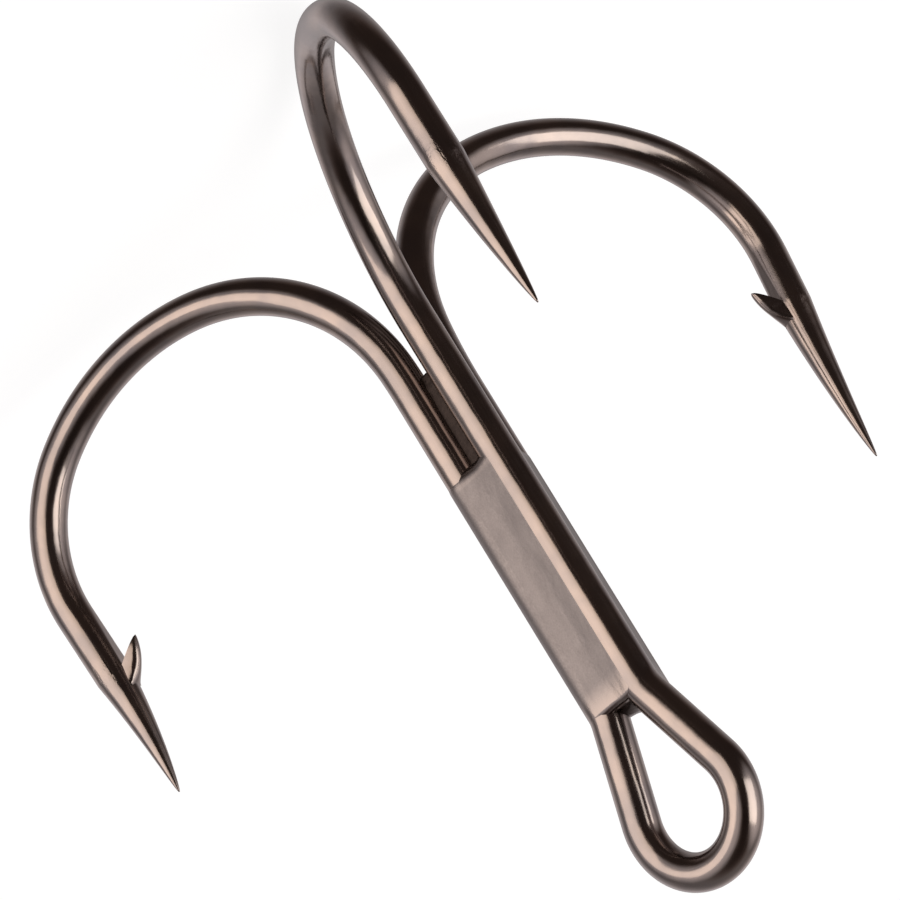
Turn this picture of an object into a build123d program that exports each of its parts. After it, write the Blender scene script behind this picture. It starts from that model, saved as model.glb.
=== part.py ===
from build123d import *
import os
from math import sin, cos, radians

os.makedirs("parts", exist_ok=True)

# ---------------------------------------------------------------------------
# Treble fishing hook: two bent steel wires brazed together along the shank.
# One wire makes the left hook, the eye and the right hook.  The other makes
# the back hook and stops under the eye.  The brazing fills the bundle.
# +Z runs along the shank towards the eye, the hole of the eye looks along Y,
# and the origin is the centre of the eye's round end.  Millimetres, degrees.
# ---------------------------------------------------------------------------

WIRE_D = 1.65
WIRE_R = WIRE_D / 2

# eye, a teardrop loop in the plane of the two front shanks
EYE_R = 2.67                  # centre line of the round end
EYE_SPREAD = 18.0             # each straight leg leans out this much
LEG_BEND_R = 2.60             # centre line where a leg leaves its shank

# bundle of three shanks, seen along Z
BUNDLE_R = 1.26               # from the middle of the bundle to each shank axis
HOOK_TURN = 13.0              # each hook is turned this much off the radial direction
SHANK_L = 18.17               # from under the eye to the bend, right hook

# hook, drawn on one plane: shank, round bend in two arcs, knee, straight arm
BEND_R = 8.78
BEND_ANGLE = 73.4
CROWN_R = 10.93
CROWN_ANGLE = 45.8
KNEE_R = 7.03
KNEE_ANGLE = 61.2
FLARE_R = 24.0                # opens or closes a hook slightly before its bend
ARM_L = 10.36                 # end of the knee to the tip of the point

# point: the last stretch of the arm, ground to a needle that leans outwards
TIP_R = 0.03
TIP_LEAN = 0.40
POINT_POWER = 0.8             # below 1 the needle is slightly full-bodied
POINT_SECTIONS = 7

# barb: a thorn raised from the inside of the arm where the point begins
BARB_HEIGHT = 1.05            # above the surface of the wire
BARB_BASE = 0.95
BARB_OVERHANG = 0.85          # how far its tip leans back towards the bend
BARB_BELLY = 0.24             # how far its long face bulges
BARB_WIDTH = 0.80
HEEL_DEPTH = 0.08             # the chisel cut's depth at the heel of the barb
CHISEL_CUT_L = 3.0            # from the heel back to where the cut leaves the surface
BURIED = 0.10                 # how far the barb's root goes into the wire

# brazing between the three shanks, measured down from the eye
BRAZE_L = 11.7
TONGUE_L = 4.6                # it runs on this far between the two front shanks
TONGUE_T = 0.40
BACK_SHANK_SHORT = 0.40       # the back wire is cut off this far under the eye
CUT_END_ROUND = 0.15

# place of each shank round the bundle, and how the hooks differ from each other:
# azimuth, extra turn, opening before the bend, drop along the shank, arm change, point length
HOOKS = {
    "left": (150.0, 1.6, 2.8, -0.91, -1.19, 5.9),
    "right": (30.0, -0.8, -0.7, 0.0, 0.0, 7.2),
    "back": (270.0, 3.8, 7.3, 0.30, 0.27, 8.05),
}

front_azimuth = radians(HOOKS["right"][0])
HALF_GAP = BUNDLE_R * cos(front_azimuth)        # front shanks to the YZ plane
BUNDLE_FRONT_Y = BUNDLE_R * sin(front_azimuth)  # front shanks in front of the bundle's middle

# the eye's legs: an arc out of the shank, then a straight run up to the round end
leg_bend_x = LEG_BEND_R * (1 - cos(radians(EYE_SPREAD)))
leg_bend_z = LEG_BEND_R * sin(radians(EYE_SPREAD))
leg_end_x = EYE_R * cos(radians(EYE_SPREAD))
leg_end_z = -EYE_R * sin(radians(EYE_SPREAD))
leg_run = (leg_end_x - HALF_GAP - leg_bend_x) / sin(radians(EYE_SPREAD))
SHANK_TOP_Z = leg_end_z - leg_run * cos(radians(EYE_SPREAD)) - leg_bend_z


def cut_short(side):
    """How far under the bend of the eye a shank's straight length starts."""
    return BACK_SHANK_SHORT if side == "back" else 0.0


def shank_axis(side):
    """Upper end of the axis of a shank's straight length."""
    azimuth = radians(HOOKS[side][0])
    top = SHANK_TOP_Z - cut_short(side)
    return (BUNDLE_R * cos(azimuth), BUNDLE_R * sin(azimuth) - BUNDLE_FRONT_Y, top)


def hook_plane(side):
    """Plane of one hook: x points outwards from the shank, y away from the eye."""
    facing = radians(HOOKS[side][0] + HOOK_TURN + HOOKS[side][1])
    return Plane(
        origin=shank_axis(side),
        x_dir=(cos(facing), sin(facing), 0),
        z_dir=(-sin(facing), cos(facing), 0),
    )


def hook_solid(side):
    """Shank, bends, arm, needle point and barb of one hook."""
    _, _, opening, drop, arm_change, point_l = HOOKS[side]
    plane = hook_plane(side)
    flare_l = FLARE_R * radians(abs(opening))

    with BuildPart() as hook:
        # wire up to the start of the point
        with BuildLine(plane):
            shank = Line((0, 0), (0, SHANK_L + drop - cut_short(side) - flare_l))
            flare = JernArc(shank @ 1, shank % 1, FLARE_R, -opening)
            bend = JernArc(flare @ 1, flare % 1, BEND_R, -BEND_ANGLE)
            crown = JernArc(bend @ 1, bend % 1, CROWN_R, -CROWN_ANGLE)
            knee = JernArc(crown @ 1, crown % 1, KNEE_R, -KNEE_ANGLE)
            arm_run = ARM_L + arm_change - point_l
            arm = Line(knee @ 1, (knee @ 1) + (knee % 1) * arm_run)
        with BuildSketch(Plane(origin=shank @ 0, z_dir=shank % 0)):
            Circle(WIRE_R)
        sweep()

        # needle point: round sections that shrink and drift outwards
        along = (arm % 1).normalized()
        inwards = along.cross(plane.z_dir).normalized()
        if inwards.dot(plane.x_dir) > 0:
            inwards = -inwards
        root = arm @ 1
        for i in range(POINT_SECTIONS):
            done = i / (POINT_SECTIONS - 1)
            radius = TIP_R + (WIRE_R - TIP_R) * (1 - done) ** POINT_POWER
            centre = root + along * (point_l * done) - inwards * (TIP_LEAN * done**2)
            with BuildSketch(Plane(origin=centre, z_dir=along)):
                Circle(radius)
        loft()

        # arm plane for the barb: x towards the point, y inwards, origin on the
        # wire's inner surface at the start of the point
        barb_plane = Plane(
            origin=root + inwards * WIRE_R, x_dir=along, z_dir=along.cross(inwards)
        )
        # flat chisel cut that ends at the heel of the barb
        with BuildSketch(barb_plane):
            with BuildLine():
                cut_start = (-CHISEL_CUT_L, 0)
                cut_end = (0, -HEEL_DEPTH)
                Polyline(cut_end, (0, WIRE_R), (-CHISEL_CUT_L, WIRE_R), cut_start, close=True)
            make_face()
        extrude(amount=WIRE_D, both=True, mode=Mode.SUBTRACT)

    # barb: a thorn with a bulging long face, lens-shaped when seen from inside the hook
    root_y = -HEEL_DEPTH - BURIED
    tip = Vector(-BARB_OVERHANG, BARB_HEIGHT)
    toe = Vector(BARB_BASE, root_y)
    long_face = toe - tip
    belly = (tip + toe) / 2 + Vector(-long_face.Y, long_face.X).normalized() * BARB_BELLY
    with BuildPart() as barb:
        with BuildSketch(barb_plane):
            with BuildLine():
                Line((0, root_y), tip)
                ThreePointArc(tip, belly, toe)
                Line(toe, (0, root_y))
            make_face()
        extrude(amount=BARB_WIDTH, both=True)
        lens_centre = root + along * ((BARB_BASE - BARB_OVERHANG) / 2)
        with BuildSketch(Plane(origin=lens_centre, x_dir=along, z_dir=inwards)):
            Ellipse((BARB_BASE + BARB_OVERHANG) / 2, BARB_WIDTH / 2)
        extrude(amount=2 * WIRE_D, mode=Mode.INTERSECT)
    return hook.part + barb.part


# ---------------------------------------------------------------------------
# wire of the left hook, the eye and the right hook
# ---------------------------------------------------------------------------
with BuildPart() as double_hook_wire:
    with BuildLine(Plane.XZ):
        right_top = (HALF_GAP, SHANK_TOP_Z)
        right_bend = JernArc(right_top, (0, 1), LEG_BEND_R, -EYE_SPREAD)
        right_leg = Line(right_bend @ 1, (leg_end_x, leg_end_z))
        round_end = JernArc(right_leg @ 1, right_leg % 1, EYE_R, 180 + 2 * EYE_SPREAD)
        left_leg = Line(round_end @ 1, (round_end @ 1) + (round_end % 1) * leg_run)
        JernArc(left_leg @ 1, left_leg % 1, LEG_BEND_R, -EYE_SPREAD)
    with BuildSketch(Plane(origin=(HALF_GAP, 0, SHANK_TOP_Z), z_dir=(0, 0, 1))):
        Circle(WIRE_R)
    sweep()
    add(hook_solid("left"))
    add(hook_solid("right"))
double_hook_wire.part.label = "double_hook_wire"

# ---------------------------------------------------------------------------
# wire of the back hook, its cut end under the eye
# ---------------------------------------------------------------------------
with BuildPart() as single_hook_wire:
    add(hook_solid("back"))
    fillet(single_hook_wire.edges().sort_by(Axis.Z)[-1], CUT_END_ROUND)
single_hook_wire.part.label = "single_hook_wire"

# ---------------------------------------------------------------------------
# brazing: it fills the bundle out to the planes that touch two shanks, and a thin
# tongue of it runs on between the front ones
# ---------------------------------------------------------------------------
with BuildPart() as braze_fill:
    with BuildSketch(Plane.XY.offset(SHANK_TOP_Z)):
        with Locations([shank_axis(side)[:2] for side in HOOKS]):
            Circle(WIRE_R)
        make_hull()
        with Locations([shank_axis(side)[:2] for side in HOOKS]):
            Circle(WIRE_R, mode=Mode.SUBTRACT)
    extrude(amount=-BRAZE_L)
    with BuildSketch(Plane.XY.offset(SHANK_TOP_Z - BRAZE_L)):
        Rectangle(2 * HALF_GAP, TONGUE_T)
        with Locations([shank_axis(side)[:2] for side in HOOKS]):
            Circle(WIRE_R, mode=Mode.SUBTRACT)
    extrude(amount=-TONGUE_L)
braze_fill.part.label = "braze_fill"

export_step(double_hook_wire.part, "parts/double_hook_wire.step")
export_step(single_hook_wire.part, "parts/single_hook_wire.step")
export_step(braze_fill.part, "parts/braze_fill.step")
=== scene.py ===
"""Treble fishing hook in polished black nickel: fine meshes, materials, light and camera.

Lengths are in millimetres and angles in degrees until a mesh is made, in the frame of
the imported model: +Z along the shank towards the eye, the origin in the eye's round end.
"""

from math import ceil, cos, exp, pi, radians, sin, sqrt, tan, tau

import bpy
from mathutils import Matrix, Quaternion, Vector, noise


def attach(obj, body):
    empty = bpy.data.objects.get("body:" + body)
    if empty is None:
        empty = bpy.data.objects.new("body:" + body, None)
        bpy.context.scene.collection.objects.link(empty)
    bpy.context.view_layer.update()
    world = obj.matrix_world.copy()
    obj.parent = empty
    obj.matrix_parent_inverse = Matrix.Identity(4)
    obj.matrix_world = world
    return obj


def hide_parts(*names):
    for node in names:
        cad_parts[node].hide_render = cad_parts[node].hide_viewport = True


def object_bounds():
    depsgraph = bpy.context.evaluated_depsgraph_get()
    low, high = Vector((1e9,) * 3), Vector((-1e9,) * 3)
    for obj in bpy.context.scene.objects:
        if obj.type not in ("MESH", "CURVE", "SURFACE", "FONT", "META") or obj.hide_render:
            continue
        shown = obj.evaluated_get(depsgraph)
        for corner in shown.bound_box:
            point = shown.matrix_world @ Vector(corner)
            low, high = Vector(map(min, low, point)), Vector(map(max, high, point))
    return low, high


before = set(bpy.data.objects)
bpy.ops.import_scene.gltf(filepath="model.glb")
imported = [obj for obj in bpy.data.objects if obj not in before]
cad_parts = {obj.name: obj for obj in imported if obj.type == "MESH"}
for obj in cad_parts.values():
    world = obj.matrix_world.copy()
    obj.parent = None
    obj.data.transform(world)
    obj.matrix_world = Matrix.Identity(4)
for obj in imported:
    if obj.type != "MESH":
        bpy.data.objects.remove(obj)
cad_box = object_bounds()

MM = 0.001

# ---------------------------------------------------------------------------
# the model's driving sizes
# ---------------------------------------------------------------------------
WIRE_R = 0.825

EYE_R = 2.67
EYE_SPREAD = 18.0
LEG_BEND_R = 2.60

BUNDLE_R = 1.26
HOOK_TURN = 13.0
SHANK_L = 18.17

BEND_R = 8.78
BEND_ANGLE = 73.4
CROWN_R = 10.93
CROWN_ANGLE = 45.8
KNEE_R = 7.03
KNEE_ANGLE = 61.2
FLARE_R = 24.0
ARM_L = 10.36

TIP_R = 0.03
TIP_LEAN = 0.40
POINT_POWER = 0.8

BARB_HEIGHT = 1.05
BARB_BASE = 0.95
BARB_OVERHANG = 0.85
BARB_BELLY = 0.24
BARB_WIDTH = 0.80
HEEL_DEPTH = 0.08
CHISEL_CUT_L = 3.0
BURIED = 0.10
HEEL_AT = 0.45                # share of the barb's length, from its toe, where the heel is
PRESS_LENGTH = 0.7            # how far the clamp's marks reach either way from the barb
PRESS_TOP = 0.4 * WIRE_R      # the clamp leaves the inside of the arm above this unmarked

BRAZE_L = 11.7
TONGUE_L = 4.6
TONGUE_T = 0.40
BACK_SHANK_SHORT = 0.40
CUT_END_ROUND = 0.15

# azimuth, extra turn, opening before the bend, drop along the shank, arm change, point length
HOOKS = {
    "left": (150.0, 1.6, 2.8, -0.91, -1.19, 5.9),
    "right": (30.0, -0.8, -0.7, 0.0, 0.0, 7.2),
    "back": (270.0, 3.8, 7.3, 0.30, 0.27, 8.05),
}

FRONT_AZIMUTH = radians(HOOKS["right"][0])
HALF_GAP = BUNDLE_R * cos(FRONT_AZIMUTH)        # front shanks to the YZ plane
BUNDLE_FRONT_Y = BUNDLE_R * sin(FRONT_AZIMUTH)  # front shanks in front of the bundle's middle
LEG_BEND_X = LEG_BEND_R * (1 - cos(radians(EYE_SPREAD)))
LEG_BEND_Z = LEG_BEND_R * sin(radians(EYE_SPREAD))
LEG_END_Z = -EYE_R * sin(radians(EYE_SPREAD))
LEG_RUN = (EYE_R * cos(radians(EYE_SPREAD)) - HALF_GAP - LEG_BEND_X) / sin(radians(EYE_SPREAD))
SHANK_TOP_Z = LEG_END_Z - LEG_RUN * cos(radians(EYE_SPREAD)) - LEG_BEND_Z

# the brazing's surface
COATED = ("left", "back")     # the shanks that it covers with a thin skin
COAT = 0.02
TUCK = 0.02                   # how far its edge goes under the surface of a shank
WEB_HOLLOW = 0.05
HOLLOW_NARROWING = 2.4        # larger makes the hollow in each face narrower
HOLLOW_POWER = 1.2
END_CREEP = 0.15              # how much further it runs along the wires than between them
RAGGED = 0.15                 # unevenness of its ends
RAGGED_TURNS = 1.2            # how quickly that changes round the bundle
LOW_END_SAMPLE = 5            # where the unevenness of the low end is read from
TOP_ROUND = 0.35
TOP_DOME = 0.35               # its top rises this much towards the middle
END_ROUND = 0.60
END_DISH = 0.20               # its other end sinks this much towards the middle
BRAZE_TOP_Z = SHANK_TOP_Z + 0.60
BRAZE_END_Z = SHANK_TOP_Z - BRAZE_L - 0.05
SHADE_INSIDE_R = 1.05          # painted shade darkens its ends nearer to the bundle's middle than this
UNSHADED_OUTSIDE_R = 1.25

# the tongue's surface
TONGUE_INSIDE_L = 1.0         # hidden in the rest of the brazing
TONGUE_REACH = 0.8 * HALF_GAP
TONGUE_WAIST = 0.3            # its thickness in the middle, as a share of that at the wires
TONGUE_WAVE = 0.02

# fineness of the meshes
STEP = 0.12
RING = 64
POINT_STEPS = 70
CUT_END_STEPS = 6
BARB_ROWS = 26
BARB_COLUMNS = 17
BRAZE_COLUMNS = 360
SIDE_ROWS = 150
FLAT_ROWS = 16
ROUND_ROWS = 8
TONGUE_ROWS = 60
TONGUE_COLUMNS = 48

UP = Vector((0, 0, 1))


# ---------------------------------------------------------------------------
# centre lines
# ---------------------------------------------------------------------------
class Route:
    """A centre line on one plane, made of straight runs and arcs."""

    def __init__(self, start, heading, side):
        self.points = [start]
        self.heading = heading
        self.side = side

    def straight(self, length):
        start = self.points[-1]
        steps = ceil(length / STEP)
        for i in range(1, steps + 1):
            self.points.append(start + self.heading * (length * i / steps))

    def arc(self, radius, angle):
        """Turns by angle, towards side if it is positive."""
        turn = 1 if angle > 0 else -1
        centre = self.points[-1] + self.side * (turn * radius)
        heading, side = self.heading, self.side
        steps = ceil(radius * radians(abs(angle)) / STEP)
        for i in range(1, steps + 1):
            a = radians(angle) * i / steps
            self.heading = heading * cos(a) + side * sin(a)
            self.side = side * cos(a) - heading * sin(a)
            self.points.append(centre - self.side * (turn * radius))


def shank_axis(side):
    """Upper end of the axis of a shank's straight length."""
    azimuth = radians(HOOKS[side][0])
    top = SHANK_TOP_Z - (BACK_SHANK_SHORT if side == "back" else 0)
    return Vector((BUNDLE_R * cos(azimuth), BUNDLE_R * sin(azimuth) - BUNDLE_FRONT_Y, top))


class Hook:
    """Centre line, radii and the place of the barb of one hook, from the shank's top to the tip."""

    def __init__(self, side):
        azimuth, extra, opening, drop, arm_change, point_l = HOOKS[side]
        facing = radians(azimuth + HOOK_TURN + extra)
        short = BACK_SHANK_SHORT if side == "back" else 0
        route = Route(shank_axis(side), -UP, Vector((cos(facing), sin(facing), 0)))
        route.straight(SHANK_L + drop - short - FLARE_R * radians(abs(opening)))
        route.arc(FLARE_R, opening)
        route.arc(BEND_R, BEND_ANGLE)
        route.arc(CROWN_R, CROWN_ANGLE)
        route.arc(KNEE_R, KNEE_ANGLE)
        route.straight(ARM_L + arm_change - point_l)
        self.along = route.heading
        self.inwards = route.side
        self.root = route.points[-1]
        self.stations = [(point, WIRE_R) for point in route.points]
        for i in range(1, POINT_STEPS + 1):
            done = i / POINT_STEPS
            centre = self.root + self.along * (point_l * done) - self.inwards * (TIP_LEAN * done**2)
            self.stations.append((centre, TIP_R + (WIRE_R - TIP_R) * (1 - done) ** POINT_POWER))

    def chisel(self, vertex):
        """The vertex after the flat cut behind the barb."""
        from_root = vertex - self.root
        behind = -from_root.dot(self.along)
        if not 0 <= behind < CHISEL_CUT_L:
            return vertex
        height = from_root.dot(self.inwards)
        limit = WIRE_R - HEEL_DEPTH * (1 - behind / CHISEL_CUT_L)
        return vertex - self.inwards * max(0.0, height - limit)

    def pressed(self, vertex):
        """How much the jaw that held the wire for the chisel has marked it, from 0 to 1."""
        from_root = vertex - self.root
        away = from_root.dot(self.along) / PRESS_LENGTH
        return exp(-(away**2)) if from_root.dot(self.inwards) < PRESS_TOP else 0.0


def eye_route():
    """From the top of the right shank round the eye to the top of the left one."""
    route = Route(shank_axis("right"), UP, Vector((1, 0, 0)))
    route.arc(LEG_BEND_R, EYE_SPREAD)
    route.straight(LEG_RUN)
    route.arc(EYE_R, -180 - 2 * EYE_SPREAD)
    route.straight(LEG_RUN)
    route.arc(LEG_BEND_R, EYE_SPREAD)
    return route


# ---------------------------------------------------------------------------
# meshes
# ---------------------------------------------------------------------------
def make_object(name, vertices, faces, coords, marks=None):
    """A mesh object in metres. coords are wire coordinates in mm: across, across, along.

    marks says from 0 to 1 how much a tool has marked the surface at each vertex.
    """
    mesh = bpy.data.meshes.new(name)
    mesh.from_pydata([v * MM for v in vertices], [], faces)
    attribute = mesh.attributes.new("wire_coord", "FLOAT_VECTOR", "POINT")
    attribute.data.foreach_set("vector", [c for coord in coords for c in coord])
    marked = mesh.attributes.new("tool_marks", "FLOAT", "POINT")
    marked.data.foreach_set("value", marks or [0.0] * len(vertices))
    for polygon in mesh.polygons:
        polygon.use_smooth = True
    mesh.validate()
    mesh.update()
    piece = bpy.data.objects.new(name, mesh)
    bpy.context.scene.collection.objects.link(piece)
    return piece


def ring_faces(rings, around):
    """Faces of a closed tube whose ends are fans round two extra vertices."""
    faces = []
    for i in range(rings - 1):
        for j in range(around):
            k = (j + 1) % around
            low, high = i * around, (i + 1) * around
            faces.append((low + j, low + k, high + k, high + j))
    first, last = rings * around, rings * around + 1
    for j in range(around):
        k = (j + 1) % around
        faces.append((first, k, j))
        faces.append((last, (rings - 1) * around + j, (rings - 1) * around + k))
    return faces


def tube(name, stations, hooks):
    """A wire swept along the stations, with the flat cuts of its hooks."""
    count = len(stations)
    normal = None
    tangent_before = None
    distance = 0.0
    vertices, coords, marks = [], [], []
    for i, (centre, radius) in enumerate(stations):
        ahead = stations[min(i + 1, count - 1)][0]
        behind = stations[max(i - 1, 0)][0]
        tangent = (ahead - behind).normalized()
        if normal is None:
            normal = tangent.orthogonal().normalized()
        else:
            normal = tangent_before.rotation_difference(tangent) @ normal
            distance += (centre - stations[i - 1][0]).length
        tangent_before = tangent
        binormal = tangent.cross(normal)
        for j in range(RING):
            a = tau * j / RING
            vertex = centre + (normal * cos(a) + binormal * sin(a)) * radius
            mark = 0.0
            for hook in hooks:
                if (vertex - hook.root).length < CHISEL_CUT_L + WIRE_R * 2:
                    vertex = hook.chisel(vertex)
                    mark = hook.pressed(vertex)
            vertices.append(vertex)
            marks.append(mark)
            coords.append((radius * cos(a), radius * sin(a), distance))
    vertices += [stations[0][0], stations[-1][0]]
    coords += [(0, 0, 0), (0, 0, distance)]
    marks += [0.0, 0.0]
    return make_object(name, vertices, ring_faces(count, RING), coords, marks)


def cut_end(stations):
    """The stations with their square first end rounded at its edge."""
    first, radius = stations[0]
    onwards = (stations[1][0] - first).normalized()
    rounded = []
    for i in range(CUT_END_STEPS):
        a = pi / 2 * i / CUT_END_STEPS
        depth = CUT_END_ROUND * (1 - cos(a))
        shrink = CUT_END_ROUND * (1 - sin(a))
        rounded.append((first + onwards * depth, radius - shrink))
    kept = [s for s in stations if (s[0] - first).length > CUT_END_ROUND]
    return rounded + kept


def barb(name, hook):
    """A thorn raised from the inside of the arm: an arched long face and a flat underside."""
    side = hook.along.cross(hook.inwards)
    foot = hook.root + hook.inwards * WIRE_R
    root_y = -HEEL_DEPTH - BURIED
    tip = Vector((-BARB_OVERHANG, BARB_HEIGHT))
    toe = Vector((BARB_BASE, root_y))
    heel = Vector((0, root_y))
    chord = tip - toe
    outwards = Vector((chord.y, -chord.x)).normalized()
    if outwards.y < 0:
        outwards = -outwards
    vertices, coords, faces = [], [], []
    for i in range(BARB_ROWS):
        done = i / (BARB_ROWS - 1)
        top = toe + chord * done + outwards * (BARB_BELLY * 4 * done * (1 - done))
        if done < HEEL_AT:
            bottom = toe.lerp(heel, done / HEEL_AT)
        else:
            bottom = heel.lerp(tip, (done - HEEL_AT) / (1 - HEEL_AT))
        # full width near the toe, then narrowing to the tip like a lens
        narrowing = max(0.0, done * 1.15 - 0.15) ** 2.2
        half = BARB_WIDTH / 2 * sqrt(max(0.0, 1 - narrowing))
        for layer in (1, 0):
            for j in range(BARB_COLUMNS):
                v = -1 + 2 * j / (BARB_COLUMNS - 1)
                arch = sqrt(1 - v * v) ** 0.8 if layer else 0.0
                at = bottom.lerp(top, arch)
                vertices.append(foot + hook.along * at.x + hook.inwards * at.y + side * (v * half))
                coords.append((at.x, at.y + WIRE_R, v * half))
    width = 2 * BARB_COLUMNS
    for i in range(BARB_ROWS - 1):
        for j in range(BARB_COLUMNS - 1):
            a, b = i * width + j, (i + 1) * width + j
            faces.append((a, b, b + 1, a + 1))
            a, b = a + BARB_COLUMNS, b + BARB_COLUMNS
            faces.append((a, a + 1, b + 1, b))
    return make_object(name, vertices, faces, coords)


def braze_reach(angle):
    """How far the brazing reaches from the middle of the bundle in a direction."""
    off_gap = (angle + pi / 2) % (tau / 3) - pi / 3
    face_distance = BUNDLE_R * cos(tau / 6) + WIRE_R
    contact = sqrt(face_distance**2 + HALF_GAP**2)
    hollow = WEB_HOLLOW * max(0.0, cos(off_gap * HOLLOW_NARROWING)) ** HOLLOW_POWER
    reach = min(face_distance / cos(off_gap), contact - TUCK) - hollow
    for side in COATED:
        off_wire = angle - radians(HOOKS[side][0])
        inside = (WIRE_R + COAT) ** 2 - (BUNDLE_R * sin(off_wire)) ** 2
        if cos(off_wire) > 0 and inside > 0:
            reach = max(reach, BUNDLE_R * cos(off_wire) + sqrt(inside))
    return reach


def braze_end(reach, edge, middle, rounding):
    """Radius and height from the middle of an end out over its rounded edge.

    edge and middle are heights, and rounding is negative at the low end.
    """
    rows = []
    flat = reach - abs(rounding)
    for i in range(1, FLAT_ROWS + 1):
        part = i / FLAT_ROWS
        rows.append((flat * part, middle + (edge - middle) * part**2))
    for i in range(1, ROUND_ROWS + 1):
        a = pi / 2 * i / ROUND_ROWS
        rows.append((flat + abs(rounding) * sin(a), edge - rounding * (1 - cos(a))))
    return rows


def braze_profile(angle):
    """Radius and height from the middle of the top end, down the side, to the middle of the other."""
    reach = braze_reach(angle)
    around = Vector((cos(angle), sin(angle), 0)) * RAGGED_TURNS
    top = BRAZE_TOP_Z + RAGGED * noise.noise(around)
    creep = END_CREEP * (1 + cos((angle + pi / 2) * 3)) / 2
    low = BRAZE_END_Z - creep + RAGGED * noise.noise(around + UP * LOW_END_SAMPLE)
    upper = braze_end(reach, top, BRAZE_TOP_Z + TOP_DOME, TOP_ROUND)
    lower = braze_end(reach, low, BRAZE_END_Z + END_DISH, -END_ROUND)
    start, stop = upper[-1][1], lower[-1][1]
    side = [(reach, start + (stop - start) * i / SIDE_ROWS) for i in range(1, SIDE_ROWS)]
    return upper + side + lower[::-1]


def braze(name):
    """Metal between the shanks, with hollow faces and ends that creep along the wires."""
    middle = Vector((0, -BUNDLE_FRONT_Y, 0))
    angles = [tau * j / BRAZE_COLUMNS for j in range(BRAZE_COLUMNS)]
    coords = []
    for row in zip(*[braze_profile(a) for a in angles]):
        for a, (radius, height) in zip(angles, row):
            coords.append((cos(a) * radius, sin(a) * radius, height))
    rows = len(coords) // BRAZE_COLUMNS
    coords.append((0, 0, BRAZE_TOP_Z + TOP_DOME))
    coords.append((0, 0, BRAZE_END_Z + END_DISH))
    vertices = [middle + Vector(place) for place in coords]
    return make_object(name, vertices, ring_faces(rows, BRAZE_COLUMNS), coords)


def tongue(name):
    """The thin tongue of brazing that runs on between the front shanks and thins out."""
    top_z = SHANK_TOP_Z - BRAZE_L + TONGUE_INSIDE_L
    length = TONGUE_L + TONGUE_INSIDE_L
    vertices, coords = [], []
    for i in range(TONGUE_ROWS):
        along = i / (TONGUE_ROWS - 1)
        thickness = TONGUE_T * sqrt(max(0.02, 1 - along**3))
        for j in range(TONGUE_COLUMNS):
            a = tau * j / TONGUE_COLUMNS
            across = TONGUE_REACH * cos(a)
            waist = TONGUE_WAIST + (1 - TONGUE_WAIST) * (across / HALF_GAP) ** 2
            wave = TONGUE_WAVE * noise.noise(Vector((across * 2, 0, along * 14)))
            point = Vector((across, sin(a) * thickness * waist + wave, top_z - length * along))
            vertices.append(point)
            coords.append(tuple(point))
    for end in (0, 1):
        vertices.append(UP * (top_z - length * end))
        coords.append((0, 0, top_z - length * end))
    return make_object(name, vertices, ring_faces(TONGUE_ROWS, TONGUE_COLUMNS), coords)


# ---------------------------------------------------------------------------
# materials
# ---------------------------------------------------------------------------
def mix_colours(tree, amount, first, second):
    """The colour between first and second, by amount from 0 to 1."""
    made = tree.nodes.new("ShaderNodeMix")
    made.data_type = "RGBA"
    tree.links.new(amount, made.inputs["Factor"])
    colours = [socket for socket in made.inputs if socket.type == "RGBA"]
    for socket, value in zip(colours, (first, second)):
        if isinstance(value, bpy.types.NodeSocket):
            tree.links.new(value, socket)
        else:
            socket.default_value = value
    return [socket for socket in made.outputs if socket.type == "RGBA"][0]


class Nodes:
    """Shorthand for building one material's node tree."""

    def __init__(self, name):
        self.material = bpy.data.materials.new(name)
        self.material.use_nodes = True
        self.tree = self.material.node_tree
        self.shader = self.tree.nodes["Principled BSDF"]

    def node(self, kind, inputs=None, **settings):
        made = self.tree.nodes.new(kind)
        for key, value in settings.items():
            setattr(made, key, value)
        for key, value in (inputs or {}).items():
            if isinstance(value, bpy.types.NodeSocket):
                self.tree.links.new(value, made.inputs[key])
            else:
                made.inputs[key].default_value = value
        return made

    def link(self, value, socket):
        self.tree.links.new(value, self.shader.inputs[socket])

    def noise(self, vector, scale, detail=4.0, roughness=0.5):
        inputs = {"Vector": vector, "Scale": scale, "Detail": detail, "Roughness": roughness}
        return self.node("ShaderNodeTexNoise", inputs).outputs["Fac"]

    def spread(self, value, low, high, to_low=0.0, to_high=1.0):
        """The value's range low to high spread over to_low to to_high."""
        inputs = {"Value": value, "From Min": low, "From Max": high, "To Min": to_low, "To Max": to_high}
        return self.node("ShaderNodeMapRange", inputs).outputs["Result"]

    def mix(self, amount, first, second):
        return mix_colours(self.tree, amount, first, second)

    def math(self, operation, first, second):
        return self.node("ShaderNodeMath", {0: first, 1: second}, operation=operation).outputs["Value"]

    def attribute(self, name, output):
        return self.node("ShaderNodeAttribute", attribute_name=name).outputs[output]

    def stretched(self, vector, scale):
        inputs = {"Vector": vector, "Scale": scale}
        return self.node("ShaderNodeMapping", inputs).outputs["Vector"]

    def bump(self, height, strength, distance, normal=None):
        inputs = {"Height": height, "Strength": strength, "Distance": distance * MM}
        if normal is not None:
            inputs["Normal"] = normal
        return self.node("ShaderNodeBump", inputs).outputs["Normal"]


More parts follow.
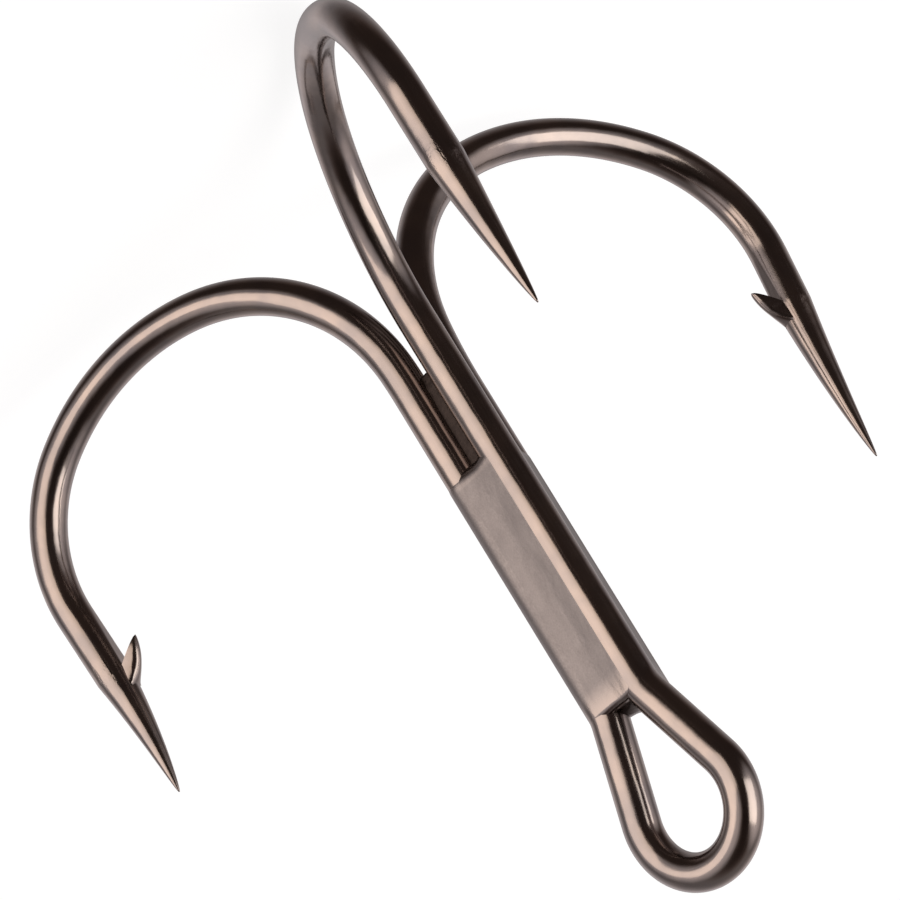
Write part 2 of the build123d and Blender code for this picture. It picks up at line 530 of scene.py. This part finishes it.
def black_nickel():
    """Polished plating over drawn wire: brown-grey, with drawing lines, haze and clamp marks."""
    cool, warm = (0.270, 0.235, 0.225, 1), (0.345, 0.290, 0.262, 1)
    n = Nodes("black_nickel")
    wire = n.attribute("wire_coord", "Vector")
    drawn = n.noise(n.stretched(wire, (9.0, 9.0, 0.35)), 1.0, 6.0, 0.6)
    clouds = n.noise(wire, 0.55, 3.0)
    waves = n.noise(n.stretched(wire, (0.9, 0.9, 0.5)), 1.0, 2.0)
    dents = n.noise(n.stretched(wire, (4.5, 4.5, 2.2)), 1.0, 3.0, 0.6)
    dented = n.math("MULTIPLY", dents, n.attribute("tool_marks", "Fac"))

    n.link(n.mix(n.spread(clouds, 0.35, 0.65), cool, warm), "Base Color")
    n.shader.inputs["Metallic"].default_value = 1.0
    n.link(n.spread(drawn, 0.3, 0.7, 0.13, 0.21), "Roughness")
    worn = n.bump(dented, 0.22, 0.12, n.bump(waves, 0.30, 0.10))
    n.link(n.bump(drawn, 0.12, 0.02, worn), "Normal")
    return n.material


def painted_shade_recess():
    """Brazing metal deep between the wires, dull and coloured nearly black as painted shade for the groove
    between the front shanks.
    """
    # painted shade: two near-black tones standing in for the shade in the groove
    painted_shade, painted_shade_lighter = (0.022, 0.015, 0.013, 1), (0.055, 0.040, 0.034, 1)
    n = Nodes("painted_shade_recess")
    mottling = n.noise(n.attribute("wire_coord", "Vector"), 3.5, 5.0, 0.6)
    n.link(n.mix(n.spread(mottling, 0.3, 0.7), painted_shade, painted_shade_lighter), "Base Color")
    n.shader.inputs["Metallic"].default_value = 0.8
    n.link(n.spread(mottling, 0.3, 0.7, 0.35, 0.55), "Roughness")
    n.link(n.bump(mottling, 0.5, 0.06), "Normal")
    return n.material


def satin_braze():
    """Plated brazing metal: grey-brown with a fine grain, polished towards its ends, with painted shade
    towards the bundle's middle.
    """
    deep, pale = (0.245, 0.222, 0.218, 1), (0.285, 0.258, 0.252, 1)
    # the last of these colours is painted shade for the hollow in the bundle's middle
    grainy, bright, painted_shade = (0.20, 0.17, 0.16, 1), (0.30, 0.258, 0.24, 1), (0.06, 0.045, 0.04, 1)
    polished_roughness = 0.17
    n = Nodes("satin_braze")
    place = n.attribute("wire_coord", "Vector")
    grain = n.noise(place, 14.0, 5.0, 0.65)
    ripples = n.noise(n.stretched(place, (1.6, 1.6, 0.7)), 1.0, 2.0)

    # polished near both ends
    height = n.node("ShaderNodeSeparateXYZ", {"Vector": place}).outputs["Z"]
    near_top = n.spread(height, SHANK_TOP_Z - 0.7, SHANK_TOP_Z + 0.2)
    near_end = n.spread(height, BRAZE_END_Z + 0.8, BRAZE_END_Z + 0.1)
    polished = n.math("MAXIMUM", near_top, near_end)
    satin = n.spread(grain, 0.3, 0.7, 0.38, 0.50)
    finish = {"Factor": polished, "A": satin, "B": polished_roughness}
    roughness = n.node("ShaderNodeMix", finish, data_type="FLOAT").outputs["Result"]

    # painted shade: darker towards the middle of the bundle, where the hollow between the wires is
    across = n.node("ShaderNodeVectorMath", {0: place, 1: (1, 1, 0)}, operation="MULTIPLY")
    from_middle = n.node("ShaderNodeVectorMath", {0: across.outputs["Vector"]}, operation="LENGTH")
    inside = n.spread(from_middle.outputs["Value"], UNSHADED_OUTSIDE_R, SHADE_INSIDE_R)

    colour = n.mix(n.spread(ripples, 0.3, 0.7), deep, pale)
    colour = n.mix(n.spread(grain, 0.35, 0.75, 0.0, 0.25), colour, grainy)
    colour = n.mix(polished, colour, bright)
    n.link(n.mix(inside, colour, painted_shade), "Base Color")
    n.shader.inputs["Metallic"].default_value = 1.0
    n.link(roughness, "Roughness")
    n.link(n.bump(grain, 0.10, 0.02, n.bump(ripples, 0.25, 0.10)), "Normal")
    return n.material


def pale_floor():
    """White cloth that glows a little, so that only soft traces of shadow are left on it."""
    n = Nodes("pale_floor")
    n.shader.inputs["Base Color"].default_value = (0.25, 0.25, 0.25, 1)
    n.shader.inputs["Roughness"].default_value = 0.9
    n.shader.inputs["Emission Color"].default_value = (1, 1, 1, 1)
    n.shader.inputs["Emission Strength"].default_value = 0.88
    return n.material


# ---------------------------------------------------------------------------
# the object
# ---------------------------------------------------------------------------
left, right, back = (Hook(side) for side in HOOKS)

eye_points = eye_route().points[::-1]
eye_stations = [(point, WIRE_R) for point in eye_points[1:-1]]
double_stations = left.stations[::-1] + eye_stations + right.stations
wire_metal = black_nickel()

pieces = [
    (tube("double_hook_wire_fine", double_stations, [left, right]), "double_hook_wire"),
    (barb("left_barb", left), "double_hook_wire"),
    (barb("right_barb", right), "double_hook_wire"),
    (tube("single_hook_wire_fine", cut_end(back.stations), [back]), "single_hook_wire"),
    (barb("back_barb", back), "single_hook_wire"),
]
for piece, node in pieces:
    piece.data.materials.append(wire_metal)
    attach(piece, "root")
    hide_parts(node)

# the tongue's near-black colour is painted shade for the groove between the front shanks
for piece, metal in ((braze("braze_fine"), satin_braze()), (tongue("braze_tongue"), painted_shade_recess())):
    piece.data.materials.append(metal)
    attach(piece, "root")
    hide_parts("braze_fill")

# ---------------------------------------------------------------------------
# camera, light and floor
# ---------------------------------------------------------------------------
bpy.context.scene.view_settings.view_transform = "Standard"

CAMERA_AZIMUTH = 55.08      # of the camera seen from the object, from +X towards +Y
CAMERA_ELEVATION = 19.73
CAMERA_ROLL = 148.55        # the eye hangs towards the lower right of the picture
CAMERA_DISTANCE = 246.29
CAMERA_TARGET = Vector((0.01, 1.36, -18.13))
LENS = 237.96               # for a sensor 36 mm wide
SENSOR = 36.0
LIGHT_DISTANCE = 0.6        # in metres
FLOOR_HALF = 4.0            # in metres

azimuth, elevation = radians(CAMERA_AZIMUTH), radians(CAMERA_ELEVATION)
to_camera = Vector((cos(azimuth) * cos(elevation), sin(azimuth) * cos(elevation), sin(elevation)))
camera_turn = to_camera.to_track_quat("Z", "Y") @ Quaternion(UP, radians(CAMERA_ROLL))
camera_place = (CAMERA_TARGET + to_camera * CAMERA_DISTANCE) * MM

camera_data = bpy.data.cameras.new("camera")
camera_data.lens = LENS
camera_data.sensor_width = SENSOR
camera_data.clip_start = 0.01
camera_data.clip_end = 50.0
camera = bpy.data.objects.new("camera", camera_data)
camera.matrix_world = Matrix.LocRotScale(camera_place, camera_turn, None)
bpy.context.scene.collection.objects.link(camera)
bpy.context.scene.camera = camera


def from_view(right_part, up_part, near_part):
    """World direction of a direction given in the main view: right, up, towards the camera."""
    return (camera_turn @ Vector((right_part, up_part, near_part))).normalized()


def softbox(name, direction, width, height, radiance, colour, slant):
    """A rectangular light that faces the object; width and height are angles seen from it.

    Its long side is level in the main view, and then turned by slant, rising to the right.
    """
    data = bpy.data.lights.new(name, "AREA")
    data.shape = "RECTANGLE"
    data.size = 2 * LIGHT_DISTANCE * tan(radians(width / 2))
    data.size_y = 2 * LIGHT_DISTANCE * tan(radians(height / 2))
    data.energy = radiance * pi * data.size * data.size_y
    data.color = colour
    light = bpy.data.objects.new(name, data)
    light.location = CAMERA_TARGET * MM + direction * LIGHT_DISTANCE
    light.rotation_mode = "QUATERNION"
    level = direction.cross(from_view(0, 1, 0)).normalized() * -1
    rise = direction.cross(level)
    side = level * cos(radians(slant)) + rise * sin(radians(slant))
    light.rotation_quaternion = Matrix((side, direction.cross(side), direction)).transposed().to_quaternion()
    bpy.context.scene.collection.objects.link(light)


class Surroundings:
    """The studio round the object, as light that depends on the direction in the world."""

    def __init__(self):
        world = bpy.data.worlds.new("surroundings")
        world.use_nodes = True
        bpy.context.scene.world = world
        self.tree = world.node_tree
        self.nodes, self.links = self.tree.nodes, self.tree.links
        self.direction = self.nodes.new("ShaderNodeTexCoord").outputs["Generated"]
        self.total = None

    def math(self, operation, first, second):
        made = self.nodes.new("ShaderNodeMath")
        made.operation = operation
        for socket, value in zip(made.inputs, (first, second)):
            if isinstance(value, bpy.types.NodeSocket):
                self.links.new(value, socket)
            else:
                socket.default_value = value
        return made.outputs["Value"]

    def towards(self, axis, low, high, at_low, at_high):
        """Changes smoothly from at_low to at_high as the cosine to axis goes from low to high."""
        cosine = self.nodes.new("ShaderNodeVectorMath")
        cosine.operation = "DOT_PRODUCT"
        cosine.inputs[1].default_value = axis
        self.links.new(self.direction, cosine.inputs[0])
        ramp = self.nodes.new("ShaderNodeMapRange")
        ramp.interpolation_type = "SMOOTHSTEP"
        for name, value in zip(("From Min", "From Max", "To Min", "To Max"), (low, high, at_low, at_high)):
            ramp.inputs[name].default_value = value
        self.links.new(cosine.outputs["Value"], ramp.inputs["Value"])
        return ramp.outputs["Result"]

    def add(self, *factors):
        term = factors[0]
        for factor in factors[1:]:
            term = self.math("MULTIPLY", term, factor)
        self.total = term if self.total is None else self.math("ADD", self.total, term)

    def finish(self):
        """The dark parts of the room are brown, and the camera itself sees plain white."""
        brightness = self.nodes.new("ShaderNodeMapRange")
        self.links.new(self.total, brightness.inputs["Value"])
        brightness.inputs["From Max"].default_value = 0.25
        brown, pale = (1.0, 0.66, 0.54, 1), (1.0, 0.93, 0.94, 1)
        colour = mix_colours(self.tree, brightness.outputs["Result"], brown, pale)
        background = self.nodes["Background"]
        self.links.new(colour, background.inputs["Color"])
        self.links.new(self.total, background.inputs["Strength"])
        white = self.nodes.new("ShaderNodeBackground")
        white.inputs["Color"].default_value = (1, 1, 1, 1)
        seen = self.nodes.new("ShaderNodeLightPath")
        choice = self.nodes.new("ShaderNodeMixShader")
        self.links.new(seen.outputs["Is Camera Ray"], choice.inputs["Fac"])
        self.links.new(background.outputs["Background"], choice.inputs[1])
        self.links.new(white.outputs["Background"], choice.inputs[2])
        self.links.new(choice.outputs["Shader"], self.nodes["World Output"].inputs["Surface"])


def studio():
    """Two softboxes beside the camera, a dark room round it and white cloth behind the object."""
    up, down = from_view(0, 1, 0), from_view(0, -1, 0)
    behind = from_view(0, 0, -1)
    around = Surroundings()
    around.add(
        around.towards(down, -0.3, 1.0, 0.045, 0.26),
        around.towards(from_view(0.06, -0.59, 0.80), 0.50, 0.95, 1.0, 0.15),
    )
    around.add(
        around.towards(behind, 0.15, 0.90, 0.0, 0.80),
        around.towards(behind, 0.80, 1.00, 1.0, 0.40),
        around.towards(up, 0.0, 0.8, 1.0, 0.35),
        around.towards(down, 0.3, 1.0, 1.0, 0.50),
    )
    around.add(around.towards(from_view(-0.84, -0.15, 0.52), 0.62, 1.0, 0.0, 0.8))
    around.add(around.towards(from_view(0.94, 0.02, 0.33), 0.62, 1.0, 0.0, 0.9))
    around.finish()
    softbox("left_softbox", from_view(-0.80, 0.04, 0.60), 70, 33, 1.42, (1.0, 0.86, 0.73), 40)
    softbox("right_softbox", from_view(0.80, 0.07, 0.59), 44, 48, 1.9, (1.0, 0.96, 0.89), 0)


def floor(height):
    """A plain floor that the wires don't mirror and that casts no shadow on them."""
    mesh = bpy.data.meshes.new("floor")
    sides = ((-1, -1), (1, -1), (1, 1), (-1, 1))
    corners = [(x * FLOOR_HALF, y * FLOOR_HALF, height) for x, y in sides]
    mesh.from_pydata(corners, [], [(0, 1, 2, 3)])
    piece = bpy.data.objects.new("floor", mesh)
    bpy.context.scene.collection.objects.link(piece)
    mesh.materials.append(pale_floor())
    piece.visible_glossy = False
    piece.visible_shadow = False


studio()
floor(cad_box[0][2])
